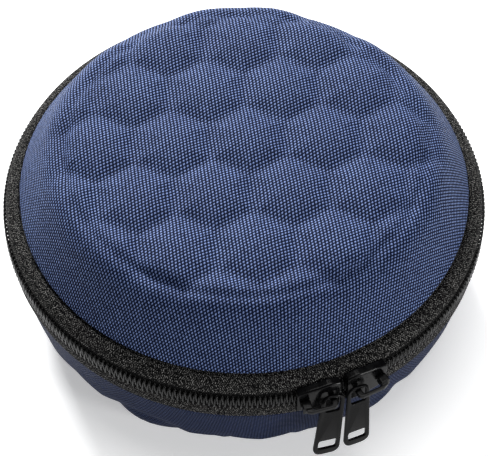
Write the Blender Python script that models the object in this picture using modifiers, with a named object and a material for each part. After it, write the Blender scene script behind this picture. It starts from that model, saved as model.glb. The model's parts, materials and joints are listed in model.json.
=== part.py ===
"""Round zipped hard case for folded headphones: a moulded lid and base joined by a two-slider coil zip.

Metres, +Z up. The origin is the centre of the flat underside, and the zip's chain lies in a level plane
at Z_ZIP. -Y is the front, where the sliders meet, and the fabric hinge is at +Y.
"""

from math import asin, atan2, cos, pi, radians, sin, tan

import bmesh
import bpy

MM = 0.001
STEPS = 48                      # flats round a full turn

# Overall shape, in millimetres.
Z_ZIP = 45.3                    # height of the chain's centre line
LID_RADIUS = 83.7               # lid fabric where it meets the zip tape
LID_EDGE = Z_ZIP + 9.3          # lower edge of the lid's fabric
LID_TOP = 81.1                  # middle of the slightly domed roof
SHOULDER_RADIUS = 69.7          # corner where the roof and the lid's slanted wall would meet
SHOULDER_HEIGHT = 79.4
SHOULDER_REACH = 9.1            # how far the rounding of that corner reaches along each face
LID_LEAN = atan2(LID_RADIUS - SHOULDER_RADIUS, SHOULDER_HEIGHT - LID_EDGE)
BASE_RADIUS = 88.2              # base fabric just under the zip tape
BASE_FOOT_RADIUS = 84.3         # base fabric where its wall turns into the bottom
BASE_CORNER = 14.0              # radius of the base's bottom corner
BASE_EDGE = Z_ZIP - 7.0         # upper edge of the base's fabric

# Wall build-up, from the outside in.
COVER = 0.7
FOAM = 3.4
LINING = 0.6
LAYER_GAP = 0.3
BINDING_DEPTH = 3.6             # how far the lid's binding reaches over the lining

# Zip.
TAPE_OUT = 88.3                 # outer face of the tape beside the chain
TAPE = 0.5
COIL_OUT = 90.1
COIL_IN = 88.6
COIL_HALF_WIDTH = 3.3
COIL_HALF_GAP = 0.75            # room for the slider's post between the two rows
TAPE_REACH = 9.8                # how far the base tape runs down from the chain

# Fabric hinge at the back.
HINGE_RADIUS = 90.9
HINGE_HALF_ANGLE = 18.5
ZIP_END_ANGLE = 19.3            # the zip stops this far from the back, on each side

# Sliders: positions round the case, counted from the front towards +X.
SLIDER_ANGLE = {"left": 16.9, "right": 28.6}
NOSE_SIDE = {"left": 1, "right": -1}
SLIDER_HALF_LENGTH = 7.8
PLATE_OUT = 91.9
PLATE_IN = 90.5
FLANGE_END = 88.95
FLANGE_BULGE = 1.7              # how much wider the outer plate is in the middle
WING_OUT = 87.1
WING_IN = 85.9
POST_HALF = 0.45
LEG_AT = 4.6                    # the bridge's front leg, from the slider's middle
LEG_HALF = 1.0
STRAP_HALF_WIDTH = 0.8
STRAP_LIFT = 4.0                # free height under the bridge
STRAP = 1.1

# Pull tabs.
PULL_LEAN = {"left": 8.5, "right": 4.5}
PULL_TILT = 10.0                # how far the pulls stand off the base at rest
PULL_THICKNESS = 1.1
PULL_PIVOT_OUT = PLATE_OUT + 1.6
PULL_PIVOT_UP = 1.2
PULL_TOP = 1.6
PULL_BOTTOM = -28.0
PULL_HALF_TOP = 4.3
PULL_HALF_BOTTOM = 5.2

# Mesh pocket under the lid's roof.
POCKET_RADIUS = 73.2
POCKET_Z = Z_ZIP + 15.6
POCKET_MOUTH = -7.6             # the net's straight front edge
HEM_DEPTH = 4.0
HEM_HALF_LENGTH = 71.8


def new_collection(name):
    collection = bpy.data.collections.new(name)
    bpy.context.scene.collection.children.link(collection)
    return collection


def principled(name, colour, roughness, metallic=0.0):
    material = bpy.data.materials.new(name)
    material.use_nodes = True
    shader = material.node_tree.nodes["Principled BSDF"]
    shader.inputs["Base Color"].default_value = (*colour, 1.0)
    shader.inputs["Roughness"].default_value = roughness
    shader.inputs["Metallic"].default_value = metallic
    return material


def empty(name, location, collection):
    holder = bpy.data.objects.new(name, None)
    holder.location = location
    holder.empty_display_size = 0.02
    collection.objects.link(holder)
    return holder


def finish(obj, collection, material, holder=None, at=(0.0, 0.0, 0.0)):
    """Link an object whose mesh is drawn about `at`, and hang it on its holder."""
    collection.objects.link(obj)
    obj.data.materials.append(material)
    obj.location = at
    if holder:
        obj.parent = holder
        obj.location = [a - b for a, b in zip(at, holder.location)]
    if obj.type == "MESH":
        obj.data.shade_smooth()
        obj.data.set_sharp_from_angle(angle=radians(32))
    return obj


def turned(name, profile, closed):
    """A turned piece: (radius, height) points in mm, clockwise, spun once round Z."""
    mesh = bpy.data.meshes.new(name)
    edges = [(i, i + 1) for i in range(len(profile) - 1)]
    if closed:
        edges.append((len(profile) - 1, 0))
    mesh.from_pydata([(r * MM, 0.0, z * MM) for r, z in profile], edges, [])
    obj = bpy.data.objects.new(name, mesh)
    screw = obj.modifiers.new("Turn", "SCREW")
    screw.steps = STEPS
    screw.render_steps = STEPS
    screw.use_merge_vertices = True
    screw.merge_threshold = 0.00002
    screw.use_smooth_shade = True
    return obj


def swept(name, profile, start, end):
    """A closed (radius, height) profile in mm swept from one angle to another, counted from the front."""
    bm = bmesh.new()
    a = radians(start)
    points = [bm.verts.new((r * sin(a) * MM, -r * cos(a) * MM, z * MM)) for r, z in profile]
    face = bm.faces.new(points)
    steps = max(2, round((end - start) / 360 * STEPS))
    bmesh.ops.spin(
        bm,
        geom=[face, *face.edges, *face.verts],
        cent=(0, 0, 0),
        axis=(0, 0, 1),
        dvec=(0, 0, 0),
        angle=radians(end - start),
        steps=steps,
    )
    bmesh.ops.remove_doubles(bm, verts=bm.verts, dist=0.00001)
    bmesh.ops.recalc_face_normals(bm, faces=bm.faces)
    mesh = bpy.data.meshes.new(name)
    bm.to_mesh(mesh)
    bm.free()
    return bpy.data.objects.new(name, mesh)


def wall_radius(inset, height):
    """Radius of the lid's slanted wall at a height, set in from the outer face by `inset` mm."""
    return LID_RADIUS - inset / cos(LID_LEAN) - (height - LID_EDGE) * tan(LID_LEAN)


def lid_face(inset, edge, count):
    """The lid from the middle of its roof, round the shoulder and down to `edge`, set in by `inset` mm."""
    height = SHOULDER_HEIGHT - inset
    radius = wall_radius(inset, height)
    reach = SHOULDER_REACH - 0.57 * inset
    roof = (radius - reach, height + (LID_TOP - SHOULDER_HEIGHT) * reach / SHOULDER_RADIUS)
    wall = (radius + reach * sin(LID_LEAN), height - reach * cos(LID_LEAN))
    points = [(0.0, LID_TOP - inset)]
    for i in range(count + 1):
        t = i / count
        points.append(tuple((1 - t) ** 2 * a + 2 * t * (1 - t) * b + t * t * c
                            for a, b, c in zip(roof, (radius, height), wall)))
    return points + [(wall_radius(inset, edge), edge)]


def lid_layer(name, outside, thickness, edge, count):
    """One bonded layer of the lid, open at the bottom."""
    outer = lid_face(outside, edge, count)
    inner = lid_face(outside + thickness, edge, count)
    return turned(name, outer + inner[::-1], closed=False)


def bowl(inset, edge, count):
    """The base's wall and bottom from its rim to its centre, set in by `inset` mm."""
    corner = BASE_CORNER - inset
    rim = BASE_RADIUS - inset
    points = [(rim - 0.8, edge)]
    points.append((rim - 0.8, Z_ZIP - TAPE_REACH - 0.4))
    points.append((rim, Z_ZIP - TAPE_REACH - 1.0))
    for i in range(count + 1):
        a = pi / 2 * i / count
        points.append((BASE_FOOT_RADIUS - BASE_CORNER + corner * cos(a), inset + corner * (1 - sin(a))))
    return points + [(0.0, inset)]


def base_layer(name, outside, thickness, edge, count):
    """One bonded layer of the base, open at the top."""
    outer = bowl(outside, edge, count)
    inner = bowl(outside + thickness, edge, count)
    return turned(name, inner[::-1] + outer, closed=False)


def ribbon(path, thickness):
    """A closed profile that follows a (radius, height) path, `thickness` mm to its inner side."""
    inner = []
    for i, (r, z) in enumerate(path):
        before = path[max(i - 1, 0)]
        after = path[min(i + 1, len(path) - 1)]
        dr, dz = after[0] - before[0], after[1] - before[1]
        length = (dr * dr + dz * dz) ** 0.5
        inner.append((r + thickness * dz / length, z - thickness * dr / length))
    return path + inner[::-1]


def lay_round(name, bm, slider):
    """Bend a piece drawn straight (x along the chain, y outward, z up, in mm) round the case."""
    middle = radians(SLIDER_ANGLE[slider])
    for vert in bm.verts:
        along, out, up = vert.co
        a = middle + NOSE_SIDE[slider] * along / COIL_OUT
        vert.co = (out * sin(a) * MM, -out * cos(a) * MM, up * MM)
    bmesh.ops.recalc_face_normals(bm, faces=bm.faces)
    mesh = bpy.data.meshes.new(name)
    bm.to_mesh(mesh)
    bm.free()
    return bpy.data.objects.new(name, mesh)


def loft(sections):
    """A solid through equal-sized sections, each a list of (along, out, up) points."""
    bm = bmesh.new()
    rings = [[bm.verts.new(p) for p in section] for section in sections]
    count = len(rings[0])
    for first, second in zip(rings, rings[1:]):
        for i in range(count):
            j = (i + 1) % count
            bm.faces.new((first[i], first[j], second[j], second[i]))
    bm.faces.new(rings[0][::-1])
    bm.faces.new(rings[-1])
    return bm


def channel_half_width(along):
    """Half the width between a slider's flanges: narrow at the tail, flared at the nose."""
    share = min(max((along + 1.0) / 6.0, 0.0), 1.0)
    return 3.75 + 0.85 * share * share * (3 - 2 * share)


def stations(count):
    return [SLIDER_HALF_LENGTH * (2 * i / count - 1) for i in range(count + 1)]


def outer_wing():
    """The slider's outer plate with its two turned-in flanges."""
    sections = []
    for along in stations(10):
        inner = channel_half_width(along)
        edge = inner + 1.2 + FLANGE_BULGE * (1 - ((along - 1.0) / 8.8) ** 2)
        right = [(PLATE_OUT - 0.5, edge), (FLANGE_END, edge), (FLANGE_END, inner), (PLATE_IN, inner)]
        left = [(out, -up) for out, up in right[::-1]]
        crown = [(PLATE_OUT, -edge + 0.5), (PLATE_OUT, edge - 0.5)]
        sections.append([(along, out, up) for out, up in crown + right + left])
    return loft(sections)


def inner_wing():
    """The slider's flat inner plate."""
    sections = []
    for along in stations(6):
        edge = channel_half_width(along) + 0.4
        sections.append([(along, out, up) for out, up in
                         ((WING_OUT, -edge), (WING_OUT, edge), (WING_IN, edge), (WING_IN, -edge))])
    return loft(sections)


def block(low, high):
    bm = bmesh.new()
    bmesh.ops.create_cube(bm, size=1.0)
    for vert in bm.verts:
        vert.co = [a + (b - a) * (c + 0.5) for a, b, c in zip(low, high, vert.co)]
    return bm


def join(obj, helper, helpers):
    """Add a helper solid to a piece."""
    helpers.objects.link(helper)
    helper.parent = obj.parent
    helper.location = obj.location
    helper.hide_render = True
    helper.display_type = "WIRE"
    union = obj.modifiers.new(helper.name, "BOOLEAN")
    union.operation = "UNION"
    union.object = helper
    union.solver = "EXACT"


def slider(side, parts, helpers, material, holder):
    """The cast slider: two wings joined by a thin post that parts the rows of the chain."""
    at = holder.location.copy()
    body = finish(lay_round(f"slider_{side}_body", outer_wing(), side), parts, material, holder, at)
    wing = lay_round(f"{side}_inner_wing", inner_wing(), side)
    post = lay_round(
        f"{side}_post", block((5.0, WING_IN + 0.5, -POST_HALF), (7.3, PLATE_OUT - 0.6, POST_HALF)), side
    )
    join(body, wing, helpers)
    join(body, post, helpers)


def bridge(side, parts, helpers, material, holder):
    """The crown over the slider: a narrow arch in front, on which the pull hangs, and a broad tail cap."""
    foot = PLATE_OUT + LAYER_GAP
    under = PLATE_OUT + STRAP_LIFT
    top = under + STRAP
    front = LEG_AT + LEG_HALF
    arch = [
        (-6.9, foot), (-6.9, foot + 1.6), (-5.2, top - 0.5), (-3.6, top), (front - 1.4, top),
        (front - 0.4, top - 0.5), (front, top - 1.5), (front, foot),
        (front - 2 * LEG_HALF, foot), (front - 2 * LEG_HALF, under - 0.6), (front - 2 * LEG_HALF - 0.6, under),
        (-3.2, under), (-4.2, under - 0.8), (-4.2, foot),
    ]
    sections = [[(along, out, up) for along, out in arch] for up in (-STRAP_HALF_WIDTH, STRAP_HALF_WIDTH)]
    at = holder.location.copy()
    crown = finish(lay_round(f"slider_{side}_bridge", loft(sections), side), parts, material, holder, at)
    cap = lay_round(f"{side}_tail_cap", block((-6.6, foot, -1.7), (-3.4, top - 1.4, 1.7)), side)
    join(crown, cap, helpers)


def rounded(points, radius, steps=4):
    """A closed outline with each corner turned into an arc."""
    out = []
    count = len(points)
    for i, (x, y) in enumerate(points):
        px, py = points[i - 1]
        nx, ny = points[(i + 1) % count]
        before = ((px - x) ** 2 + (py - y) ** 2) ** 0.5
        after = ((nx - x) ** 2 + (ny - y) ** 2) ** 0.5
        a = (x + (px - x) / before * radius, y + (py - y) / before * radius)
        b = (x + (nx - x) / after * radius, y + (ny - y) / after * radius)
        for k in range(steps + 1):
            t = k / steps
            out.append(tuple((1 - t) ** 2 * p + 2 * t * (1 - t) * q + t * t * w for p, q, w in zip(a, (x, y), b)))
    return out


def flat_plate(name, outlines, half_thickness):
    """A 2D curve plate in its own XY plane: the first outline, less the others."""
    curve = bpy.data.curves.new(name, "CURVE")
    curve.dimensions = "2D"
    curve.fill_mode = "BOTH"
    curve.extrude = half_thickness * MM
    for outline in outlines:
        spline = curve.splines.new("POLY")
        spline.points.add(len(outline) - 1)
        for point, (x, y) in zip(spline.points, outline):
            point.co = (x * MM, y * MM, 0.0, 1.0)
        spline.use_cyclic_u = True
    return bpy.data.objects.new(name, curve)


def pull(side, parts, material, holder):
    """The flat pull tab: an eye round the bridge's front leg, a flared blade, and a slot at its end."""
    outline = rounded(
        [(-PULL_HALF_TOP, PULL_TOP), (PULL_HALF_TOP, PULL_TOP),
         (PULL_HALF_BOTTOM, PULL_BOTTOM), (-PULL_HALF_BOTTOM, PULL_BOTTOM)], 3.4, 5)
    eye = rounded([(-2.7, 0.0), (2.7, 0.0), (2.7, -6.0), (-2.7, -6.0)], 1.4, 3)
    slot = rounded([(-3.5, -21.2), (3.5, -21.2), (3.5, -25.3), (-3.5, -25.3)], 1.0, 3)
    tab = flat_plate(f"pull_{side}", [outline, eye, slot], PULL_THICKNESS / 2)
    a = radians(SLIDER_ANGLE[side] + NOSE_SIDE[side] * LEG_AT / COIL_OUT * 180 / pi)
    at = (PULL_PIVOT_OUT * MM * sin(a), -PULL_PIVOT_OUT * MM * cos(a), (Z_ZIP + PULL_PIVOT_UP) * MM)
    finish(tab, parts, material, holder, at)
    tab.rotation_mode = "XYZ"
    tab.rotation_euler = (radians(90 - PULL_TILT), radians(PULL_LEAN[side]), a)


def zip_halves(parts, tape_material, coil_material, base, lid):
    """Tape and coil on each side of the chain, open at the back where the hinge is."""
    start, end = ZIP_END_ANGLE - 180, 180 - ZIP_END_ANGLE
    near, far = TAPE_OUT, TAPE_OUT - TAPE
    lid_tape = [
        (near, COIL_HALF_GAP), (near, 4.4), (near - 0.8, 6.0), (84.0, 8.7), (79.4, 8.9),
        (79.4, 8.4), (83.8, 8.2), (far - 0.7, 5.7), (far, 4.3), (far, COIL_HALF_GAP),
    ]
    base_tape = [(near, -COIL_HALF_GAP), (near + 0.1, -TAPE_REACH), (far, -TAPE_REACH), (far, -COIL_HALF_GAP)]
    coil = [
        (COIL_IN, COIL_HALF_GAP), (COIL_OUT - 0.4, COIL_HALF_GAP), (COIL_OUT, COIL_HALF_GAP + 0.8),
        (COIL_OUT - 0.2, COIL_HALF_WIDTH - 0.6), (COIL_OUT - 0.8, COIL_HALF_WIDTH), (COIL_IN, COIL_HALF_WIDTH),
    ]
    profiles = {
        "zip_tape_lid": (lid_tape, tape_material, lid),
        "zip_tape_base": (base_tape, tape_material, base),
        "zip_coil_lid": (coil, coil_material, lid),
        "zip_coil_base": ([(r, -z) for r, z in coil], coil_material, base),
    }
    for name, (profile, material, holder) in profiles.items():
        raised = [(r, z + Z_ZIP) for r, z in profile]
        finish(swept(name, raised, start, end), parts, material, holder)


def hinge_strips(parts, outer_material, inner_material, base):
    """The two fabric strips that join lid and base at the back."""
    outside = [
        (82.3, 14.0), (83.8, 11.4), (88.4, 7.6), (90.9, 4.2), (91.25, 0.0), (90.7, -5.0), (89.7, -10.0), (89.3, -14.0),
    ]
    inside = [
        (80.0, 6.9), (84.6, 6.7), (88.6, 4.2), (89.6, 0.0), (89.2, -3.0), (87.2, -5.2), (83.0, -5.5),
    ]
    for name, path, material in (("hinge_strip", outside, outer_material), ("hinge_lining", inside, inner_material)):
        raised = [(r, z + Z_ZIP) for r, z in path]
        strip = swept(name, ribbon(raised, 0.6), 180 - HINGE_HALF_ANGLE, 180 + HINGE_HALF_ANGLE)
        finish(strip, parts, material, base)


def pocket(parts, mesh_material, elastic_material, lid):
    """A half-moon of net under the lid's roof, its straight mouth edged with flat elastic."""
    start = asin(POCKET_MOUTH / POCKET_RADIUS)
    steps = 24
    outline = []
    for i in range(steps + 1):
        a = start + (pi - 2 * start) * i / steps
        outline.append((POCKET_RADIUS * cos(a), POCKET_RADIUS * sin(a)))
    net = flat_plate("mesh_pocket", [outline], 0.3)
    finish(net, parts, mesh_material, lid, (0.0, 0.0, POCKET_Z * MM))
    reach = HEM_HALF_LENGTH
    front = outline[0][1] - 0.3
    hem = rounded([(-reach, front), (-reach, front - HEM_DEPTH), (reach, front - HEM_DEPTH), (reach, front)], 0.8, 2)
    band = flat_plate("pocket_hem", [hem], 0.8)
    finish(band, parts, elastic_material, lid, (0.0, 0.0, POCKET_Z * MM))


def main():
    for obj in list(bpy.data.objects):
        bpy.data.objects.remove(obj)
    parts = new_collection("headphone_case")
    helpers = new_collection("helpers")
    helpers.hide_render = True

    nylon = principled("navy_nylon", (0.035, 0.065, 0.19), 0.62)
    foam = principled("eva_foam", (0.03, 0.03, 0.035), 0.85)
    velvet = principled("black_lining", (0.012, 0.012, 0.014), 0.9)
    tape = principled("zip_tape", (0.014, 0.013, 0.013), 0.8)
    nylon_coil = principled("zip_coil", (0.02, 0.019, 0.019), 0.45)
    enamel = principled("black_enamel", (0.008, 0.008, 0.009), 0.22, 0.3)
    net = principled("pocket_mesh", (0.02, 0.02, 0.022), 0.8)
    elastic = principled("elastic", (0.015, 0.015, 0.016), 0.75)
    binding = principled("binding", (0.012, 0.012, 0.013), 0.75)

    base = empty("base", (0.0, 0.0, 0.0), parts)
    lid = empty("lid", (0.0, HINGE_RADIUS * MM, Z_ZIP * MM), parts)

    inside_cover = COVER + LAYER_GAP
    inside_foam = inside_cover + FOAM + LAYER_GAP
    finish(lid_layer("lid_cover", 0.0, COVER, LID_EDGE, 6), parts, nylon, lid)
    finish(lid_layer("lid_shell", inside_cover, FOAM, LID_EDGE + 0.2, 5), parts, foam, lid)
    finish(lid_layer("lid_lining", inside_foam, LINING, LID_EDGE + 0.2, 5), parts, velvet, lid)
    finish(base_layer("base_cover", 0.0, COVER, BASE_EDGE, 4), parts, nylon, base)
    finish(base_layer("base_shell", inside_cover, FOAM, BASE_EDGE, 3), parts, foam, base)
    finish(base_layer("base_lining", inside_foam, LINING, BASE_EDGE, 3), parts, velvet, base)

    edge = Z_ZIP + 7.3
    low = wall_radius(inside_foam + LINING + LAYER_GAP, LID_EDGE)
    high = wall_radius(inside_foam + LINING + LAYER_GAP, edge + BINDING_DEPTH)
    lid_binding = [
        (high, edge + BINDING_DEPTH), (low, LID_EDGE), (low, edge + 0.6), (82.6, edge + 0.6), (82.6, edge),
        (low - 0.6, edge), (low - 0.6, LID_EDGE), (high - 0.6, edge + BINDING_DEPTH),
    ]
    finish(turned("lid_binding", lid_binding, closed=True), parts, binding, lid)
    base_inner = BASE_RADIUS - 0.8 - inside_foam - LINING - LAYER_GAP
    edge = Z_ZIP - 6.1
    base_binding = [
        (base_inner - 0.6, edge), (87.3, edge), (87.3, edge - 0.6), (base_inner, edge - 0.6),
        (base_inner, edge - 7.0), (base_inner - 0.6, edge - 7.0),
    ]
    finish(turned("base_binding", base_binding, closed=True), parts, binding, base)

    zip_halves(parts, tape, nylon_coil, base, lid)
    hinge_strips(parts, nylon, velvet, base)
    pocket(parts, net, elastic, lid)
    for side in ("left", "right"):
        carriage = empty(f"slider_{side}", (0.0, 0.0, Z_ZIP * MM), parts)
        slider(side, parts, helpers, enamel, carriage)
        bridge(side, parts, helpers, enamel, carriage)
        pull(side, parts, enamel, carriage)


main()
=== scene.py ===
"""Looks of the round zipped headphone case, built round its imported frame.

Lengths below are in millimetres and are turned into metres where a mesh is made. The zip's chain lies in a
level plane, angles round the case are counted from the front (-Y) towards +X, and a path is a list of
(radius, height) points.
"""

import json
from math import asin, atan2, cos, degrees, pi, radians, sin, sqrt, tan

import bmesh
import bpy
import numpy as np
from mathutils import Matrix, Vector


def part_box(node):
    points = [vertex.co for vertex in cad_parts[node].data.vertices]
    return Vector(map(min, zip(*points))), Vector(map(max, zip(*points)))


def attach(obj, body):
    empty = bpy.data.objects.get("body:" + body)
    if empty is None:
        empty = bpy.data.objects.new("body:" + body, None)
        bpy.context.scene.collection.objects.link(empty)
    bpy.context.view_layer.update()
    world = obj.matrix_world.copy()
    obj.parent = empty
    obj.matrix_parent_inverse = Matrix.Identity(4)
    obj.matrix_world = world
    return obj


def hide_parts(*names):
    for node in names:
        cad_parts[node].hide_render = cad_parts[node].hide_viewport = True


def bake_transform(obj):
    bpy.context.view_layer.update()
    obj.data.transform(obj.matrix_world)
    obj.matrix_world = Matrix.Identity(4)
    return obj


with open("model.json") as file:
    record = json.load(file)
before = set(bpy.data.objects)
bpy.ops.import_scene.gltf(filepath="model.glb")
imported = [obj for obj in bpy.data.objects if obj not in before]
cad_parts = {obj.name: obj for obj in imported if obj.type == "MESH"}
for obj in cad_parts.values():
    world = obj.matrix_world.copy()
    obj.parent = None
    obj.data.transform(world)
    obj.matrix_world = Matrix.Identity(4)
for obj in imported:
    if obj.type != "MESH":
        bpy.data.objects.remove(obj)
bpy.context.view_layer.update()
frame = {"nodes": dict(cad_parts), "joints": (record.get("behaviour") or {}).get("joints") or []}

MM = 0.001
CLOTH_MAP = "cloth"             # UV map that holds each point's place on the flat cloth, in millimetres
JOINTS = {joint["name"]: joint for joint in frame["joints"]}

# Main sizes, read from the frame.
Z_ZIP = JOINTS["lid_hinge"]["pos_m"][2] / MM
LID_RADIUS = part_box("lid_cover")[1].x / MM
LID_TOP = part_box("lid_cover")[1].z / MM
LID_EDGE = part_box("lid_cover")[0].z / MM
BASE_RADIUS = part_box("base_cover")[1].x / MM
BASE_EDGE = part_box("base_cover")[1].z / MM

# Shape of the two moulded halves, as in the solids.
SHOULDER_RADIUS = 69.7          # corner where the roof and the lid's slanted wall would meet
SHOULDER_HEIGHT = 79.4
SHOULDER_REACH = 9.1            # how far the rounding of that corner reaches along each face
LID_LEAN = atan2(LID_RADIUS - SHOULDER_RADIUS, SHOULDER_HEIGHT - LID_EDGE)
BASE_FOOT_RADIUS = 84.3
BASE_CORNER = 14.0
TAPE_REACH = 9.8                # how far the base tape runs down from the chain
RIM_STEP = 0.8                  # how far the base's rim is set in behind its tape
COVER = 0.7                     # thickness of the outer cloth
FOAM_AT = 1.0                   # depths of the layers under the outer face
FOAM_END = 4.4
LINING_AT = 4.7
LINING_END = 5.3

# Quilting: hexagons pressed into the roof and the underside.
HEX_PITCH = 27.9
HEX_CENTRE = (1.45, 2.6)
HEX_TURN = radians(3.57)
HEX_RINGS = 2                   # rings of hexagons round the middle one on the lid
QUILT_DEPTH = 2.7
QUILT_SOFTNESS = 5.0            # how far a valley's side reaches
QUILT_ROUND = 1.6               # rounding at the bottom of a valley
QUILT_INSIDE = 0.35             # share of the quilting that shows through to the lining
BASE_QUILT_FADE = (84.0, 100.0)  # the underside's quilting fades out between these, along the cloth
CREASE_AT = 67.0                # the crease that rings the roof, measured out along the cloth
CREASE_DEPTH = 0.9
CREASE_WIDTH = 2.0

# Weave of the outer cloth.
WARP_PITCH = 1.247              # from one column of floats to the next
FLOAT_PITCH = 1.26              # from one float to the next along a column
WARP_SKEW = radians(3.5)        # the columns lean this much from the quilting

# Zip.
ZIP_END = 180 - 19.3            # the zip runs this many degrees from the front, on both sides
TAPE_RADIUS = 88.3              # outer face of the tape beside the chain
TAPE_THICKNESS = 0.5
CHAIN_RADIUS = 90.1             # outer face of the coil
CHAIN_EDGE = 3.3                # half the chain's width
COIL_PITCH = 1.9
COIL_WIRE = 0.40                # radius of the coil's thread
STITCH_PITCH = 1.27
STITCH_SPAN = (4.2, 5.9)        # where a stitch starts and ends, away from the middle of the chain
STITCH_RADIUS = 0.24

# Pulls: half widths, and heights measured up from the pivot.
PULL_LEAN = {"left": 8.5, "right": 4.5}
PULL_TILT = 10.0                # how far the pulls stand off the base at rest, in degrees
PULL_TOP, PULL_HALF_TOP = 1.3, 4.3
PULL_BOTTOM, PULL_HALF_BOTTOM = -28.0, 5.2
PULL_HALF_THICKNESS = 0.6
PULL_EDGE = 0.3                 # rounding of the tab's edges
EYE_TOP, EYE_BOTTOM, EYE_HALF = 0.15, -6.6, 3.0
SLOT_TOP, SLOT_BOTTOM, SLOT_HALF = -21.2, -25.3, 3.5

# Hinge.
HINGE_HALF_ANGLE = 18.5         # half of the degrees that the strips span
HINGE_THICKNESS = 0.6

# Bindings inside the rim.
BINDING_DEPTH = 3.6
BINDING_THICKNESS = 0.5
BINDING_STITCHES = 150

# Pocket.
POCKET_RADIUS = 73.2
POCKET_Z = Z_ZIP + 15.6
POCKET_MOUTH = -7.6             # y of the pocket's mouth
HEM_HALF_LENGTH = 71.7
NET_PITCH = 3.0
NET_HOLE = 0.98                 # radius of a hole in the net
NET_SAG = 1.6                   # how far the net hangs down at most
NET_SAG_AT = 30.0               # y of the place where it hangs most
NET_SAG_REACH = 70.0            # how far the sag reaches from there


# ---------------------------------------------------------------- materials


class Shader:
    """A Principled material, with short calls for the nodes that feed it."""

    def __init__(self, name, roughness):
        self.material = bpy.data.materials.new(name)
        self.material.use_nodes = True
        self.tree = self.material.node_tree
        self.surface = self.tree.nodes["Principled BSDF"]
        self.surface.inputs["Roughness"].default_value = roughness

    def sockets(self, **values):
        for name, value in values.items():
            self.surface.inputs[name.replace("_", " ")].default_value = value

    def node(self, kind, **inputs):
        made = self.tree.nodes.new(kind)
        for name, value in inputs.items():
            self.feed(made.inputs[name.replace("_", " ")], value)
        return made

    def feed(self, socket, value):
        if isinstance(value, bpy.types.NodeSocket):
            self.tree.links.new(value, socket)
        else:
            socket.default_value = value

    def maths(self, operation, *values):
        made = self.tree.nodes.new("ShaderNodeMath")
        made.operation = operation
        for socket, value in zip(made.inputs, values):
            self.feed(socket, value)
        return made.outputs[0]

    def ramp(self, value, low, high, to_low=0.0, to_high=1.0):
        made = self.tree.nodes.new("ShaderNodeMapRange")
        made.interpolation_type = "SMOOTHSTEP"
        for socket, given in zip(made.inputs, (value, low, high, to_low, to_high)):
            self.feed(socket, given)
        return made.outputs[0]

    def mix(self, factor, first, second):
        made = self.tree.nodes.new("ShaderNodeMix")
        made.data_type = "RGBA"
        self.feed(made.inputs["Factor"], factor)
        self.feed(made.inputs[6], (*first, 1.0) if isinstance(first, tuple) else first)
        self.feed(made.inputs[7], (*second, 1.0) if isinstance(second, tuple) else second)
        return made.outputs[2]

    def place(self):
        return self.node("ShaderNodeTexCoord").outputs["Object"]

    def noise(self, scale, detail=3.0, vector=None):
        made = self.node("ShaderNodeTexNoise", Scale=scale, Detail=detail)
        self.feed(made.inputs["Vector"], vector or self.place())
        return made

    def cloth(self, wander=0.0):
        """(u, v) on the flat cloth in millimetres, let wander a little as real threads do."""
        spot = self.tree.nodes.new("ShaderNodeUVMap")
        spot.uv_map = CLOTH_MAP
        vector = spot.outputs[0]
        if wander:
            shift = self.node("ShaderNodeVectorMath")
            shift.operation = "MULTIPLY_ADD"
            self.feed(shift.inputs[0], self.noise(0.16, 3.0, vector).outputs["Color"])
            shift.inputs[1].default_value = (wander, wander, 0.0)
            self.feed(shift.inputs[2], vector)
            vector = shift.outputs[0]
        split = self.node("ShaderNodeSeparateXYZ", Vector=vector)
        return split.outputs[0], split.outputs[1]

    def colour(self, value):
        self.feed(self.surface.inputs["Base Color"], value)

    def rough(self, value):
        self.feed(self.surface.inputs["Roughness"], value)

    def bump(self, height, distance, strength):
        made = self.node("ShaderNodeBump", Height=height, Distance=distance * MM, Strength=strength)
        self.feed(self.surface.inputs["Normal"], made.outputs[0])


def navy_cloth(name, sharpness, gap_shade_colours, float_sheen_colours):
    """Ballistic nylon: slanted floats, stacked in columns, painted pale on their crowns as sheen, with the
    gaps between them painted dark as shade.
    """
    shader = Shader(name, 0.62)
    u, v = shader.cloth(wander=0.5)
    across = shader.maths("ADD", shader.maths("MULTIPLY", u, cos(WARP_SKEW)),
                          shader.maths("MULTIPLY", v, sin(WARP_SKEW)))
    column = shader.maths("MULTIPLY", across, pi / WARP_PITCH)
    crest = shader.maths("POWER", shader.maths("ABSOLUTE", shader.maths("COSINE", column)), sharpness)
    row = shader.maths("MULTIPLY", v, 2 * pi / FLOAT_PITCH)
    bead = shader.maths("COSINE", shader.maths("SUBTRACT", row, column))
    height = shader.maths("MULTIPLY", crest, shader.maths("MULTIPLY_ADD", bead, 0.42, 0.58))
    sheen_noise = shader.noise(900.0, 2.0).outputs["Fac"]
    patch = shader.noise(55.0, 2.0).outputs["Fac"]
    # Painted sheen and shade: the weave's height, varied by fine noise, picks the colour from the near-black
    # painted shade of the gaps to the pale painted sheen of the float crowns.
    painted_sheen = shader.maths("MULTIPLY", height, shader.ramp(sheen_noise, 0.25, 0.75, 0.75, 1.2))
    lift = shader.ramp(painted_sheen, 0.18, 0.92)
    shader.colour(shader.mix(lift, shader.mix(patch, *gap_shade_colours), shader.mix(patch, *float_sheen_colours)))
    shader.rough(shader.ramp(height, 0.0, 1.0, 0.85, 0.5))
    shader.bump(height, 0.22, 0.8)
    shader.sockets(Specular_IOR_Level=0.1)
    return shader.material


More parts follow.
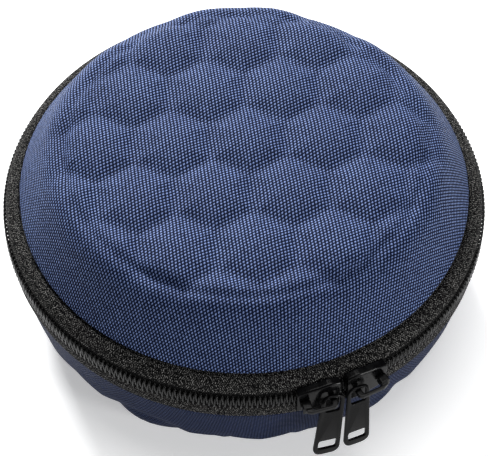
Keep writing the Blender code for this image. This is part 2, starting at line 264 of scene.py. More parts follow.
def tape_cloth():
    """Zip tape: a fine black herringbone with grey glints on the raised threads."""
    shader = Shader("zip_tape", 0.75)
    along, across = shader.cloth(wander=0.35)
    zigzag = shader.maths("PINGPONG", across, 1.3)
    slant = shader.maths("ADD", along, shader.maths("MULTIPLY", zigzag, 0.8))
    ribs = shader.maths("COSINE", shader.maths("MULTIPLY", slant, 2 * pi / 0.85))
    picks = shader.maths("COSINE", shader.maths("MULTIPLY", across, 2 * pi / 0.8))
    height = shader.maths("MULTIPLY", ribs, shader.maths("MULTIPLY_ADD", picks, 0.5, 0.6))
    fuzz = shader.noise(1900.0, 2.0).outputs["Fac"]
    glint = shader.maths("MULTIPLY", shader.ramp(height, -0.5, 0.9), shader.ramp(fuzz, 0.46, 0.64))
    # Painted shade: the glints dim to 0.12 of their strength in the groove beside the chain, where the coil
    # shades the tape.
    away = shader.ramp(across, CHAIN_EDGE + 0.1, CHAIN_EDGE + 0.9, 0.12, 1.0)
    glint = shader.maths("MULTIPLY", glint, away)
    shader.colour(shader.mix(glint, (0.0025, 0.0025, 0.0028), (0.25, 0.245, 0.235)))
    shader.bump(shader.maths("ADD", height, fuzz), 0.16, 0.8)
    shader.sockets(Specular_IOR_Level=0.03)
    return shader.material


def thread(name, dark, light, roughness, specular=0.12):
    """Twisted yarn or moulded nylon thread: a dark body with paler streaks."""
    shader = Shader(name, roughness)
    fleck = shader.noise(1400.0, 2.0).outputs["Fac"]
    shader.colour(shader.mix(shader.ramp(fleck, 0.35, 0.7), dark, light))
    shader.rough(shader.ramp(fleck, 0.2, 0.8, roughness - 0.08, roughness + 0.12))
    shader.bump(fleck, 0.03, 0.5)
    shader.sockets(Specular_IOR_Level=specular)
    return shader.material


def enamel():
    """Glossy black baked enamel on a casting, with a faint orange peel and dulled high spots."""
    shader = Shader("black_enamel", 0.16)
    peel = shader.noise(520.0, 2.0).outputs["Fac"]
    wear = shader.noise(140.0, 5.0).outputs["Fac"]
    shader.colour(shader.mix(shader.ramp(wear, 0.55, 0.8), (0.0018, 0.0018, 0.002), (0.006, 0.006, 0.0065)))
    shader.rough(shader.ramp(wear, 0.35, 0.75, 0.17, 0.34))
    shader.bump(peel, 0.02, 0.35)
    shader.sockets(Specular_IOR_Level=0.09, Coat_Weight=0.05, Coat_Roughness=0.06)
    return shader.material


def velvet():
    """Short black velvet, brushed unevenly."""
    shader = Shader("black_lining", 0.92)
    pile = shader.noise(1500.0, 4.0).outputs["Fac"]
    brushed = shader.noise(38.0, 3.0).outputs["Fac"]
    tuft = shader.ramp(pile, 0.3, 0.7)
    tips = shader.mix(brushed, (0.024, 0.024, 0.027), (0.045, 0.045, 0.05))
    shader.colour(shader.mix(tuft, (0.007, 0.007, 0.008), tips))
    shader.bump(pile, 0.12, 0.6)
    shader.sockets(Specular_IOR_Level=0.05)
    return shader.material


def ribbed(name, pitch, dark, light):
    """Narrow woven tape or elastic, with fine ribs across it."""
    shader = Shader(name, 0.72)
    along, across = shader.cloth(wander=0.2)
    rib = shader.maths("COSINE", shader.maths("MULTIPLY", along, 2 * pi / pitch))
    cord = shader.maths("COSINE", shader.maths("MULTIPLY", across, 2 * pi / (pitch * 0.7)))
    height = shader.maths("ADD", rib, shader.maths("MULTIPLY", cord, 0.4))
    shader.colour(shader.mix(shader.ramp(height, -0.8, 1.2), dark, light))
    shader.bump(height, 0.12, 0.7)
    shader.sockets(Specular_IOR_Level=0.08)
    return shader.material


def foam():
    """Closed-cell moulded foam with a fine skin."""
    shader = Shader("eva_foam", 0.85)
    cells = shader.noise(1100.0, 4.0).outputs["Fac"]
    shader.colour(shader.mix(cells, (0.020, 0.020, 0.023), (0.04, 0.04, 0.045)))
    shader.bump(cells, 0.08, 0.6)
    shader.sockets(Specular_IOR_Level=0.1)
    return shader.material


def paper():
    """The pale floor."""
    shader = Shader("studio_floor", 0.8)
    grain = shader.noise(25.0, 3.0).outputs["Fac"]
    shader.colour(shader.mix(grain, (0.90, 0.90, 0.90), (0.93, 0.93, 0.93)))
    shader.sockets(Emission_Color=(1.0, 1.0, 1.0, 1.0), Emission_Strength=0.42)
    return shader.material


# ---------------------------------------------------------------- mesh tools


def add(obj, material):
    bpy.context.scene.collection.objects.link(obj)
    obj.data.materials.clear()
    obj.data.materials.append(material)
    if obj.type == "MESH":
        obj.data.shade_smooth()
    return obj


def weld(mesh, distance=0.00001):
    bm = bmesh.new()
    bm.from_mesh(mesh)
    bmesh.ops.remove_doubles(bm, verts=bm.verts, dist=distance)
    bmesh.ops.dissolve_degenerate(bm, edges=bm.edges, dist=0.000002)
    bmesh.ops.recalc_face_normals(bm, faces=bm.faces)
    bm.to_mesh(mesh)
    bm.free()


def grid(name, points, uv, closed=False):
    """A mesh through rows and columns of points (mm), with the cloth map `uv` (mm) at each of them.
    A closed grid's last column meets its first, and its uv has one column more than its points."""
    rows, columns = points.shape[:2]
    count = columns if closed else columns - 1
    i, j = np.meshgrid(np.arange(rows - 1), np.arange(count), indexing="ij")
    i, j = i.ravel(), j.ravel()
    after = (j + 1) % columns
    here, below = i * columns, (i + 1) * columns
    faces = np.stack([here + j, below + j, below + after, here + after], 1)
    mesh = bpy.data.meshes.new(name)
    mesh.from_pydata((points.reshape(-1, 3) * MM).tolist(), [], faces.tolist())
    layer = mesh.uv_layers.new(name=CLOTH_MAP)
    spots = np.stack([uv[i, j], uv[i + 1, j], uv[i + 1, j + 1], uv[i, j + 1]], 1)
    layer.data.foreach_set("uv", spots.astype(np.float32).ravel())
    return bpy.data.objects.new(name, mesh)


def even(path, count):
    """`count` points spaced evenly along a path."""
    path = np.array(path, float)
    run = run_of(path)
    at = np.linspace(0.0, run[-1], count)
    return np.stack([np.interp(at, run, path[:, k]) for k in range(path.shape[1])], 1)


def smooth(path, per_span=8):
    """A Catmull-Rom curve through the points of a path."""
    path = [np.array(p, float) for p in path]
    path = [2 * path[0] - path[1], *path, 2 * path[-1] - path[-2]]
    out = []
    for a, b, c, d in zip(path, path[1:], path[2:], path[3:]):
        for k in range(per_span):
            t = k / per_span
            out.append(0.5 * (2 * b + (c - a) * t + (2 * a - 5 * b + 4 * c - d) * t * t
                              + (3 * b - a - 3 * c + d) * t ** 3))
    return np.array([*out, path[-2]])


def run_of(path):
    """The length along a path, at each of its points."""
    return np.concatenate([[0.0], np.cumsum(np.linalg.norm(np.diff(path, axis=0), axis=1))])


def outward(path):
    """Unit normals of a path that runs clockwise: out from the top, down the wall and in below."""
    along = np.gradient(path, axis=0)
    normal = np.stack([-along[:, 1], along[:, 0]], 1)
    return normal / np.linalg.norm(normal, axis=1)[:, None]


def around(radius, height, angle):
    """Points of a (rows, columns) surface, at these radii, heights and angles from the front."""
    return np.stack([radius * np.sin(angle), -radius * np.cos(angle), height + 0 * angle], -1)


def thicken(obj, thickness, offset=-1.0):
    solid = obj.modifiers.new("Thickness", "SOLIDIFY")
    solid.thickness = thickness * MM
    solid.offset = offset
    solid.use_even_offset = True


def turned_skin(name, path, press, columns=360):
    """A full turn of a path that starts on the axis. `press` gives how far each point is pushed inward."""
    angle = np.linspace(0.0, 2 * pi, columns + 1)
    sheet = run_of(path)[:, None]
    flat = np.stack([sheet * np.sin(angle), -sheet * np.cos(angle)], -1)
    push = press(flat)
    normal = outward(path)
    radius = path[:, :1] - push * normal[:, :1]
    height = path[:, 1:] - push * normal[:, 1:]
    radius[0] = 0.0
    points = around(radius, height, angle[None, :])
    turned_map = turn(flat, -HEX_TURN)
    obj = grid(name, points[:, :-1], turned_map, closed=True)
    weld(obj.data)
    return obj


def swept_strip(name, path, start, end, step):
    """A strip of cloth that follows a path, swept between two angles, given in degrees."""
    reach = path[:, 0].max()
    columns = max(8, round(radians(end - start) * reach / step))
    angle = np.radians(np.linspace(start, end, columns))[None, :]
    points = around(path[:, :1], path[:, 1:], angle)
    across = np.repeat(run_of(path)[:, None], columns, 1)
    along = np.repeat(angle * reach, len(path), 0)
    return grid(name, points, np.stack([along, across], -1))


def ring_strip(name, path, columns=480):
    """A strip of cloth that follows a path all the way round."""
    angle = np.linspace(0.0, 2 * pi, columns + 1)[None, :]
    points = around(path[:, :1], path[:, 1:], angle[:, :-1])
    across = np.repeat(run_of(path)[:, None], columns + 1, 1)
    along = np.repeat(angle * path[:, 0].max(), len(path), 0)
    return grid(name, points, np.stack([along, across], -1), closed=True)


def mesh_of(name, obj):
    """The evaluated mesh of a modified object or a curve, which is then removed."""
    made = bpy.data.meshes.new_from_object(obj.evaluated_get(bpy.context.evaluated_depsgraph_get()))
    bpy.data.objects.remove(obj)
    return bpy.data.objects.new(name, made)


def from_curve(name, curve):
    holder = bpy.data.objects.new("outline", curve)
    bpy.context.scene.collection.objects.link(holder)
    made = mesh_of(name, holder)
    weld(made.data, 0.000004)
    return made


def tubes(name, paths, radius, material, sides):
    """Round threads along these paths (mm), as one mesh."""
    curve = bpy.data.curves.new(name, "CURVE")
    curve.dimensions = "3D"
    curve.bevel_depth = radius * MM
    curve.bevel_resolution = sides
    curve.use_fill_caps = True
    for path in paths:
        spline = curve.splines.new("POLY")
        spline.points.add(len(path) - 1)
        spots = np.ones((len(path), 4))
        spots[:, :3] = np.asarray(path) * MM
        spline.points.foreach_set("co", spots.ravel())
    return add(from_curve(name, curve), material)


def place(obj, body, slot, *nodes):
    """The piece rides on a body and stands for these CAD nodes, which it hides. slot is not used."""
    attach(obj, body)
    if nodes:
        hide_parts(*nodes)


def turn(flat, angle):
    """Flat (x, y) points turned anticlockwise."""
    c, s = cos(angle), sin(angle)
    return np.stack([flat[..., 0] * c - flat[..., 1] * s, flat[..., 0] * s + flat[..., 1] * c], -1)


# ---------------------------------------------------------------- quilting


def hexagon_sides(rings):
    """Middles, directions and half length of the sides of the hexagons, as laid on the flat cloth."""
    half_side = HEX_PITCH / sqrt(3) / 2
    sides = set()
    for q in range(-rings, rings + 1):
        for r in range(max(-rings, -q - rings), min(rings, -q + rings) + 1):
            x = HEX_PITCH * (q + r / 2)
            y = HEX_PITCH * r * sqrt(3) / 2
            for k in range(6):
                a = k * pi / 3
                side = (x + HEX_PITCH / 2 * cos(a), y + HEX_PITCH / 2 * sin(a), (k % 3) * pi / 3)
                sides.add(tuple(round(value, 4) for value in side))
    return sorted(sides), half_side


def quilt_depth(flat, rings):
    """How deep the quilting is pressed at flat points, from 0 on a crown to QUILT_DEPTH in a valley."""
    local = turn(flat - np.array(HEX_CENTRE), -HEX_TURN)
    sides, half = hexagon_sides(rings)
    nearest = np.full(local.shape[:2], 1e9)
    for x, y, a in sides:
        off_x = local[..., 0] - x
        off_y = local[..., 1] - y
        across = off_x * cos(a) + off_y * sin(a)
        along = np.abs(-off_x * sin(a) + off_y * cos(a))
        away = np.hypot(across, np.maximum(along - half, 0.0))
        nearest = np.minimum(nearest, away)
    eased = np.sqrt(nearest ** 2 + QUILT_ROUND ** 2) - QUILT_ROUND
    return QUILT_DEPTH * np.exp(-eased / QUILT_SOFTNESS)


def fade(value, start, end):
    """1 up to start, 0 past end and smooth between them."""
    t = np.clip((value - start) / (end - start), 0.0, 1.0)
    return 1 - t * t * (3 - 2 * t)


# ---------------------------------------------------------------- moulded halves


def wall_radius(inset, height):
    """Radius of the lid's slanted wall at a height, set in by `inset`."""
    return LID_RADIUS - inset / cos(LID_LEAN) - (height - LID_EDGE) * tan(LID_LEAN)


def lid_path(inset, edge, spacing=1.25):
    """The lid from the middle of its roof, round the shoulder and down to `edge`, set in by `inset`."""
    corner = np.array([wall_radius(inset, SHOULDER_HEIGHT - inset), SHOULDER_HEIGHT - inset])
    tightening = 0.57           # the rounding gets shorter by this much of the inset
    reach = SHOULDER_REACH - tightening * inset
    roof = corner + reach * np.array([-1.0, (LID_TOP - SHOULDER_HEIGHT) / SHOULDER_RADIUS])
    wall = corner + reach * np.array([sin(LID_LEAN), -cos(LID_LEAN)])
    t = np.linspace(0.0, 1.0, 20)[:, None]
    arc = (1 - t) ** 2 * roof + 2 * t * (1 - t) * corner + t * t * wall
    path = np.concatenate([[[0.0, LID_TOP - inset]], arc, [[wall_radius(inset, edge), edge]]])
    return even(path, round(run_of(path)[-1] / spacing))


def bowl_path(inset, edge, spacing=1.25):
    """The base from the middle of its underside out and up to `edge`, set in by `inset`."""
    corner = BASE_CORNER - inset
    a = np.linspace(pi / 2, 0.0, 24)
    arc = np.stack([BASE_FOOT_RADIUS - BASE_CORNER + corner * np.cos(a), inset + corner * (1 - np.sin(a))], 1)
    rim = BASE_RADIUS - inset
    seam = Z_ZIP - TAPE_REACH
    wall = [(rim, seam - 1.0), (rim - RIM_STEP, seam - 0.2), (rim - RIM_STEP, edge)]
    path = np.concatenate([[(0.0, inset)], arc, wall])
    return even(path, round(run_of(path)[-1] / spacing))


def lid_press(share=1.0):
    def press(flat):
        reach = np.hypot(flat[..., 0], flat[..., 1])
        crease = CREASE_DEPTH * np.exp(-((reach - CREASE_AT) / CREASE_WIDTH) ** 2)
        return share * (quilt_depth(flat, HEX_RINGS) + crease)
    return press


def base_press(share=1.0):
    """The base's path runs anticlockwise, so its normals point in and the push changes sign."""
    def press(flat):
        reach = np.hypot(flat[..., 0], flat[..., 1])
        return -share * quilt_depth(flat, HEX_RINGS + 1) * fade(reach, *BASE_QUILT_FADE)
    return press


def layered(name, path_of, depths, edge, press_outer, press_inner):
    """A closed layer between two depths, with its own quilting on each face."""
    spacing, columns = 1.6, 240
    outer = turned_skin(name, path_of(depths[0], edge, spacing), press_outer, columns)
    inner = turned_skin(name + "_inner", path_of(depths[1], edge, spacing), press_inner, columns)
    bm = bmesh.new()
    bm.from_mesh(outer.data)
    bm.from_mesh(inner.data)
    bm.verts.ensure_lookup_table()
    # The two rims have the same number of points, and are joined in order of their angle.
    count = len(outer.data.vertices)
    rims = []
    for skin in (bm.verts[:count], bm.verts[count:]):
        rims.append(sorted((v for v in skin if v.is_boundary), key=lambda v: atan2(v.co.y, v.co.x)))
    for k in range(len(rims[0])):
        bm.faces.new((rims[0][k - 1], rims[0][k], rims[1][k], rims[1][k - 1]))
    bmesh.ops.recalc_face_normals(bm, faces=bm.faces)
    bm.to_mesh(outer.data)
    bm.free()
    bpy.data.objects.remove(inner)
    return outer


def moulded_half(body, cloth, cloth_material, path_of, edge, press, materials):
    """Cloth, foam and lining of one half, bonded to each other and quilted together."""
    fabric = add(turned_skin(f"{body}_fabric", cloth, press()), cloth_material)
    thicken(fabric, COVER)
    place(fabric, body, "navy_nylon", f"{body}_cover")

    inside = press(QUILT_INSIDE)
    foam_layer = layered(f"{body}_foam", path_of, (FOAM_AT, FOAM_END), edge, press(), inside)
    add(foam_layer, materials["foam"])
    place(foam_layer, body, "eva_foam", f"{body}_shell")

    lining = layered(f"{body}_velvet", path_of, (LINING_AT, LINING_END), edge, inside, inside)
    add(lining, materials["velvet"])
    place(lining, body, "black_lining", f"{body}_lining")


def moulded_halves(materials):
    # The lid's cloth is rolled in at its edge.
    roll = [
        (LID_RADIUS - 0.3, LID_EDGE + 0.1), (LID_RADIUS - 0.8, LID_EDGE), (LID_RADIUS - 1.4, LID_EDGE + 0.15),
    ]
    lid_cloth = np.concatenate([lid_path(0.0, LID_EDGE + 0.6), roll])
    moulded_half("lid", lid_cloth, materials["navy"], lid_path, LID_EDGE + 0.2, lid_press, materials)
    base_cloth = bowl_path(0.0, BASE_EDGE)
    # The base takes the darker copy of the same cloth, which is painted shade.
    moulded_half("base", base_cloth, materials["navy_base_shaded"], bowl_path, BASE_EDGE, base_press, materials)


# ---------------------------------------------------------------- zip


def lid_tape_path():
    """From the chain up and in over the rim, then down into the seam under the lid's cloth."""
    turns = [
        (TAPE_RADIUS, 0.8), (88.35, 3.2), (88.25, 4.8), (87.5, 6.4), (86.2, 7.5), (85.0, 7.95),
        (84.2, 7.8), (83.6, 7.45), (83.1, 7.9), (82.6, 8.55), (79.4, 8.8),
    ]
    return even(smooth([(r, Z_ZIP + z) for r, z in turns]), 40)


def base_tape_path():
    """From the chain down over the seam on the base's wall."""
    turns = [(TAPE_RADIUS, -0.8), (88.35, -3.0), (88.55, -6.0), (88.5, -8.6), (88.35, -TAPE_REACH)]
    return even(smooth([(r, Z_ZIP + z) for r, z in turns]), 18)


def coil_path(side):
    """One row of the chain: a flattened helix whose heads reach past the middle. side is 1 on the lid.
    A turn is given as (along the chain, up from its middle, radius)."""
    one_turn = [
        (0.00, 2.95, 89.0), (0.14, 3.15, 89.6), (0.22, 2.7, 90.05), (0.20, 1.8, 90.15), (0.34, 0.6, 90.1),
        (0.48, -0.7, 90.05), (0.44, -1.7, 89.75), (0.62, -2.0, 89.3), (0.95, -1.5, 89.1), (1.25, 0.4, 89.0),
        (1.60, 2.0, 88.95),
    ]
    reach = radians(ZIP_END) * CHAIN_RADIUS
    count = int(2 * reach / COIL_PITCH)
    shift = 0.0 if side > 0 else COIL_PITCH / 2
    out = []
    for k in range(count):
        for along, up, radius in one_turn:
            a = (-reach + shift + k * COIL_PITCH + along) / CHAIN_RADIUS
            centre = radius - COIL_WIRE
            out.append((centre * sin(a), -centre * cos(a), Z_ZIP + side * up))
    return out


def stitch_paths(side, radius_at):
    """The row of thread loops that holds the coil on its tape, whose face is at radius_at(height)."""
    low, high = (side * end for end in STITCH_SPAN)
    reach = radians(ZIP_END) * TAPE_RADIUS
    count = int(2 * reach / STITCH_PITCH)
    paths = []
    for k in range(count):
        at = -reach + (k + 0.5) * STITCH_PITCH
        stitch = []
        for step in range(7):
            t = step / 6
            up = low + (high - low) * t
            lean = 0.32 * (t - 0.5) * side + 0.1 * sin(k * 2.4)
            bow = 0.42 * sin(pi * t) - 0.12
            a = (at + lean) / TAPE_RADIUS
            radius = radius_at(up) + bow
            stitch.append((radius * sin(a), -radius * cos(a), Z_ZIP + up))
        paths.append(stitch)
    return paths


def zip_chain(materials):
    for body, side, path in (("lid", 1, lid_tape_path()), ("base", -1, base_tape_path())):
        tape = add(swept_strip(f"{body}_zip_tape", path, -ZIP_END, ZIP_END, 1.1), materials["tape"])
        thicken(tape, TAPE_THICKNESS, -side)
        place(tape, body, "zip_tape", f"zip_tape_{body}")
        coil = tubes(f"{body}_zip_coil", [coil_path(side)], COIL_WIRE, materials["coil"], 1)
        place(coil, body, "zip_coil", f"zip_coil_{body}")

        # The stretch of the tape beside the chain, from its lowest point up.
        rising = path[:20] if side > 0 else path[::-1]

        def radius_at(up):
            return float(np.interp(Z_ZIP + up, rising[:, 1], rising[:, 0]))

        rows = stitch_paths(side, radius_at)
        stitches = tubes(f"{body}_zip_stitches", rows, STITCH_RADIUS, materials["yarn"], 0)
        place(stitches, body, "zip_tape")


# ---------------------------------------------------------------- sliders and pulls


def cast(name, node, voxel, rounds):
    """A casting with softened edges, made from the solid of its node."""
    mesh = frame["nodes"][node].data.copy()
    mesh.name = name
    obj = bpy.data.objects.new(name, mesh)
    bpy.context.scene.collection.objects.link(obj)
    weld(mesh)
    for kind, settings in (
        ("REMESH", {"mode": "VOXEL", "voxel_size": voxel * MM, "use_smooth_shade": True}),
        ("SMOOTH", {"factor": 0.5, "iterations": rounds}),
    ):
        step = obj.modifiers.new(kind, kind)
        for key, value in settings.items():
            setattr(step, key, value)
    return mesh_of(name, obj)


def rounded(points, radius, steps=6):
    """A closed outline with each corner turned into an arc."""
    out = []
    for i, corner in enumerate(points):
        corner = np.array(corner, float)
        before = np.array(points[i - 1], float) - corner
        after = np.array(points[(i + 1) % len(points)], float) - corner
        a = corner + before / np.linalg.norm(before) * radius
        b = corner + after / np.linalg.norm(after) * radius
        for k in range(steps + 1):
            t = k / steps
            out.append((1 - t) ** 2 * a + 2 * t * (1 - t) * corner + t * t * b)
    return out


def tapered(top, half_top, bottom, half_bottom):
    """Corners of an upright outline that widens from half_top to half_bottom."""
    return [(-half_top, top), (half_top, top), (half_bottom, bottom), (-half_bottom, bottom)]


def pull_tab(side, material):
    """A flat pull with rounded edges, an eye at the top and a slot at its end."""
    outlines = [
        rounded(tapered(PULL_TOP, PULL_HALF_TOP, PULL_BOTTOM, PULL_HALF_BOTTOM), 3.6, 10),
        rounded(tapered(EYE_TOP, EYE_HALF, EYE_BOTTOM, EYE_HALF), 1.2),
        rounded(tapered(SLOT_TOP, SLOT_HALF, SLOT_BOTTOM, SLOT_HALF), 1.0),
    ]
    curve = bpy.data.curves.new(f"{side}_pull_outline", "CURVE")
    curve.dimensions = "2D"
    curve.fill_mode = "BOTH"
    curve.extrude = (PULL_HALF_THICKNESS - PULL_EDGE) * MM
    curve.bevel_depth = PULL_EDGE * MM
    curve.bevel_resolution = 3
    curve.offset = -PULL_EDGE * MM
    for outline in outlines:
        spline = curve.splines.new("POLY")
        spline.points.add(len(outline) - 1)
        for point, (x, y) in zip(spline.points, outline):
            point.co = (x * MM, y * MM, 0.0, 1.0)
        spline.use_cyclic_u = True
    tab = from_curve(f"slider_{side}_tab", curve)
    pivot = Vector(JOINTS[f"pull_{side}_lift"]["pos_m"])
    facing = Matrix.Rotation(atan2(pivot.x, -pivot.y), 4, "Z")
    lean = Matrix.Rotation(radians(PULL_LEAN[side]), 4, "Y")
    tilt = Matrix.Rotation(radians(90 - PULL_TILT), 4, "X")
    tab.data.transform(Matrix.Translation(pivot) @ facing @ lean @ tilt)
    add(tab, material)
    tab.data.set_sharp_from_angle(angle=radians(40))
    return tab


def sliders(materials):
    for side in ("left", "right"):
        for piece, node, voxel, rounds in (("casting", "body", 0.17, 4), ("crown", "bridge", 0.12, 14)):
            metal = cast(f"slider_{side}_{piece}", f"slider_{side}_{node}", voxel, rounds)
            add(metal, materials["enamel"])
            place(metal, f"slider_{side}", "black_enamel", f"slider_{side}_{node}")
        tab = pull_tab(side, materials["enamel"])
        place(tab, f"pull_{side}", "black_enamel", f"pull_{side}")


# ---------------------------------------------------------------- hinge, bindings and pocket


def hinge(materials):
    """The strips that join the halves at the back, as (radius, height up from the chain)."""
    outside = [
        (82.3, 14.0), (83.8, 11.4), (88.4, 7.6), (90.9, 4.2), (91.25, 0.0), (90.7, -5.0), (89.7, -10.0),
        (89.3, -14.0),
    ]
    inside = [
        (80.0, 6.9), (84.6, 6.7), (88.6, 4.2), (89.6, 0.0), (89.2, -3.0), (87.2, -5.2), (83.0, -5.5),
    ]
    for name, path, slot, look, node in (
        ("hinge_fabric", outside, "navy_nylon", "navy", "hinge_strip"),
        ("hinge_velvet", inside, "black_lining", "velvet", "hinge_lining"),
    ):
        raised = smooth([(r, Z_ZIP + z) for r, z in path], 6)
        strip = swept_strip(name, raised, 180 - HINGE_HALF_ANGLE, 180 + HINGE_HALF_ANGLE, 1.2)
        add(strip, materials[look])
        thicken(strip, HINGE_THICKNESS)
        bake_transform(strip)
        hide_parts(node)


def binding_paths():
    """Paths of the tapes that cover the raw edges inside the lid's and the base's rim."""
    low = Z_ZIP + 7.3
    foot = wall_radius(LINING_END + 0.6, LID_EDGE)
    head = wall_radius(LINING_END + 0.6, low + BINDING_DEPTH)
    lid_turns = [
        (82.6, low + 0.3), (81.0, low + 0.1), (foot + 0.5, low + 0.05), (foot, low + 0.5), (foot, LID_EDGE),
        (head, low + BINDING_DEPTH),
    ]
    wall = BASE_RADIUS - RIM_STEP - LINING_END - 0.6
    high = Z_ZIP - 6.1
    base_turns = [
        (87.2, high - 0.3), (85.0, high - 0.1), (wall + 0.7, high), (wall, high - 0.5), (wall, high - 3.5),
        (wall, high - 7.0),
    ]
    return smooth(lid_turns), smooth(base_turns)


def binding_stitches(radius, level):
    """Short thread loops, evenly spaced round the binding."""
    half_angle = 0.0145
    paths = []
    for k in range(BINDING_STITCHES):
        middle = 2 * pi * k / BINDING_STITCHES
        a = np.linspace(middle - half_angle, middle + half_angle, 6)
        dip = radius - 0.3 - 0.22 * np.sin(np.linspace(0, pi, 6))
        paths.append(np.stack([dip * np.sin(a), -dip * np.cos(a), level + 0 * a], 1))
    return paths


def bindings(materials):
    for body, path in zip(("lid", "base"), binding_paths()):
        strip = add(ring_strip(f"{body}_rim_binding", path), materials["binding"])
        thicken(strip, BINDING_THICKNESS, 0.0)
        place(strip, body, "binding", f"{body}_binding")
        # The stitches sit a few points in from the binding's free edge.
        loops = binding_stitches(*path[-12])
        stitches = tubes(f"{body}_binding_stitches", loops, 0.2, materials["yarn"], 1)
        place(stitches, body, "binding")


def net_ring(bm, x, y, size):
    """Six corners round (x, y), on the net's sagging surface."""
    ring = []
    for k in range(6):
        a = pi / 6 + k * pi / 3
        px, py = x + size * cos(a), y + size * sin(a)
        sag = NET_SAG * max(0.0, 1 - (px * px + (py - NET_SAG_AT) ** 2) / NET_SAG_REACH ** 2)
        ring.append(bm.verts.new((px * MM, py * MM, (POCKET_Z - sag) * MM)))
    return ring


def pocket_net(material):
    """A half-moon of net with hexagonal holes."""
    row_pitch = NET_PITCH * sqrt(3) / 2
    rows = int(2 * POCKET_RADIUS / row_pitch) + 2
    half_row = int(POCKET_RADIUS / NET_PITCH) + 1
    bm = bmesh.new()
    for row in range(rows):
        y = POCKET_MOUTH + 0.9 + row * row_pitch
        for column in range(-half_row, half_row + 1):
            x = (column + 0.5 * (row % 2)) * NET_PITCH
            if x * x + y * y > (POCKET_RADIUS - 1.6) ** 2:
                continue
            outer_ring = net_ring(bm, x, y, NET_PITCH / sqrt(3))
            inner_ring = net_ring(bm, x, y, NET_HOLE)
            for k in range(6):
                j = (k + 1) % 6
                bm.faces.new((outer_ring[k], outer_ring[j], inner_ring[j], inner_ring[k]))
    bmesh.ops.remove_doubles(bm, verts=bm.verts, dist=0.00005)
    bmesh.ops.recalc_face_normals(bm, faces=bm.faces)
    mesh = bpy.data.meshes.new("pocket_net")
    bm.to_mesh(mesh)
    bm.free()
    net = add(bpy.data.objects.new("pocket_net", mesh), material)
    mesh.shade_flat()
    thicken(net, 0.35, 0.0)
    return net


def pocket_hem(material):
    """The elastic along the pocket's mouth, gathered a little."""
    section = np.array([
        (0.0, -0.55), (0.6, -0.85), (2.0, -0.9), (3.4, -0.85), (4.0, -0.55), (4.0, 0.5), (0.0, 0.5),
        (0.0, -0.55),
    ])
    drop, level = section[:, :1], section[:, 1:]
    along = np.linspace(-HEM_HALF_LENGTH, HEM_HALF_LENGTH, 300)
    gather = 0.16 * np.sin(along * 2.1) + 0.08 * np.sin(along * 5.3)
    points = np.zeros((len(section), len(along), 3))
    points[..., 0] = along
    points[..., 1] = POCKET_MOUTH - 0.2 - drop + 0.3 * gather
    points[..., 2] = POCKET_Z + level + gather * (level < 0)
    run = np.repeat(run_of(section)[:, None], len(along), 1)
    uv = np.stack([np.repeat(along[None], len(section), 0), run], -1)
    hem = grid("pocket_elastic", points, uv)
    weld(hem.data)
    bm = bmesh.new()
    bm.from_mesh(hem.data)
    bmesh.ops.holes_fill(bm, edges=[e for e in bm.edges if e.is_boundary], sides=0)
    bmesh.ops.recalc_face_normals(bm, faces=bm.faces)
    bm.to_mesh(hem.data)
    bm.free()
    return add(hem, material)


def pocket(materials):
    """The net, a tape round its edge and an elastic hem along its mouth."""
    net = pocket_net(materials["net"])
    place(net, "lid", "pocket_mesh", "mesh_pocket")

    past = asin(-POCKET_MOUTH / POCKET_RADIUS)
    inner = POCKET_RADIUS - 0.4
    turns = [(inner - 3.2, POCKET_Z - 0.35), (inner - 1.6, POCKET_Z - 0.6), (inner, POCKET_Z - 0.35)]
    start, end = 90 - degrees(past), 270 + degrees(past)
    tape = add(swept_strip("pocket_edge_tape", smooth(turns, 4), start, end, 1.6), materials["elastic"])
    thicken(tape, 0.5, 0.0)
    place(tape, "lid", "elastic")

    hem = pocket_hem(materials["elastic"])
    place(hem, "lid", "elastic", "pocket_hem")


# ---------------------------------------------------------------- studio


def look_at(obj, target, roll=0.0):
    """Turns a camera or a light to face the target, then rolls it."""
    back = (obj.location - Vector(target)).normalized()
    turned = Matrix.Rotation(roll, 3, "Z").to_quaternion()
    obj.rotation_mode = "QUATERNION"
    obj.rotation_quaternion = back.to_track_quat("Z", "Y") @ turned


def area_light(name, location, target, size, power):
    light = bpy.data.lights.new(name, "AREA")
    light.shape = "RECTANGLE"
    light.size, light.size_y = size
    light.energy = power
    obj = bpy.data.objects.new(name, light)
    obj.location = location
    look_at(obj, target)
    bpy.context.scene.collection.objects.link(obj)


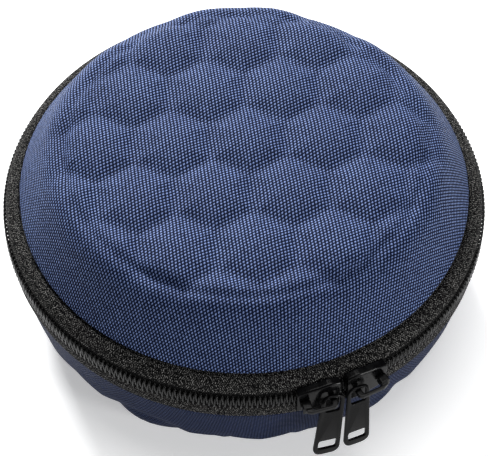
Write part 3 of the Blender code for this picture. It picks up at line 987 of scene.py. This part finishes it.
def studio(floor_material):
    bm = bmesh.new()
    bmesh.ops.create_grid(bm, x_segments=40, y_segments=40, size=4.0)
    mesh = bpy.data.meshes.new("studio_floor")
    bm.to_mesh(mesh)
    bm.free()
    floor = add(bpy.data.objects.new("studio_floor", mesh), floor_material)

    world = bpy.data.worlds.new("studio")
    world.use_nodes = True
    world.node_tree.nodes["Background"].inputs["Color"].default_value = (0.93, 0.96, 1.0, 1.0)
    world.node_tree.nodes["Background"].inputs["Strength"].default_value = 0.08
    bpy.context.scene.world = world
    bpy.context.scene.view_settings.view_transform = "Standard"

    middle = (0.0, 0.0, 0.05)
    area_light("key", (-0.55, 1.43, 0.88), middle, (0.7, 0.5), 70.0)
    area_light("top", (0.15, 0.2, 1.6), middle, (1.0, 1.0), 14.5)
    area_light("front_right", (1.3, -0.9, 0.45), middle, (0.35, 0.3), 13.0)


def camera():
    """Above the front of the case, as one looks down at it on a table."""
    distance, elevation = 0.835, radians(52.37)
    aim = Vector((0.0, -0.01557, 0.0489))
    lens = bpy.data.cameras.new("camera")
    lens.sensor_width = 36.0
    lens.lens = 4.574795 * lens.sensor_width
    obj = bpy.data.objects.new("camera", lens)
    obj.location = (0.0, -cos(elevation) * distance, aim.z + sin(elevation) * distance)
    look_at(obj, aim, radians(0.22))
    bpy.context.scene.collection.objects.link(obj)
    bpy.context.scene.camera = obj


def all_materials():
    # Gap colours are painted shade and float colours painted sheen, over the cloth's own navy.
    lid_gap_shade = ((0.0008, 0.003, 0.016), (0.0012, 0.005, 0.024))
    lid_float_sheen = ((0.14, 0.20, 0.42), (0.19, 0.27, 0.52))
    # The base's colours are a much darker copy of the lid's, as painted shade on the half that lies in
    # shadow.
    base_gaps_painted_shade = ((0.0015, 0.004, 0.018), (0.002, 0.006, 0.026))
    base_floats_painted_shade = ((0.009, 0.019, 0.062), (0.014, 0.028, 0.085))
    return {
        "navy": navy_cloth("navy_nylon", 1.5, lid_gap_shade, lid_float_sheen),
        "navy_base_shaded": navy_cloth("navy_nylon_base_shaded", 0.6, base_gaps_painted_shade, base_floats_painted_shade),
        "foam": foam(),
        "velvet": velvet(),
        "tape": tape_cloth(),
        "coil": thread("zip_coil", (0.0025, 0.0025, 0.0025), (0.009, 0.009, 0.009), 0.26, 0.16),
        "yarn": thread("zip_yarn", (0.004, 0.004, 0.004), (0.13, 0.125, 0.12), 0.7),
        "enamel": enamel(),
        "binding": ribbed("binding", 0.9, (0.006, 0.006, 0.007), (0.04, 0.04, 0.042)),
        "elastic": ribbed("elastic", 1.2, (0.008, 0.008, 0.009), (0.05, 0.05, 0.052)),
        "net": thread("pocket_mesh", (0.010, 0.010, 0.011), (0.045, 0.045, 0.048), 0.75),
    }


def main():
    materials = all_materials()
    camera()
    moulded_halves(materials)
    zip_chain(materials)
    sliders(materials)
    hinge(materials)
    bindings(materials)
    pocket(materials)
    studio(paper())


main()
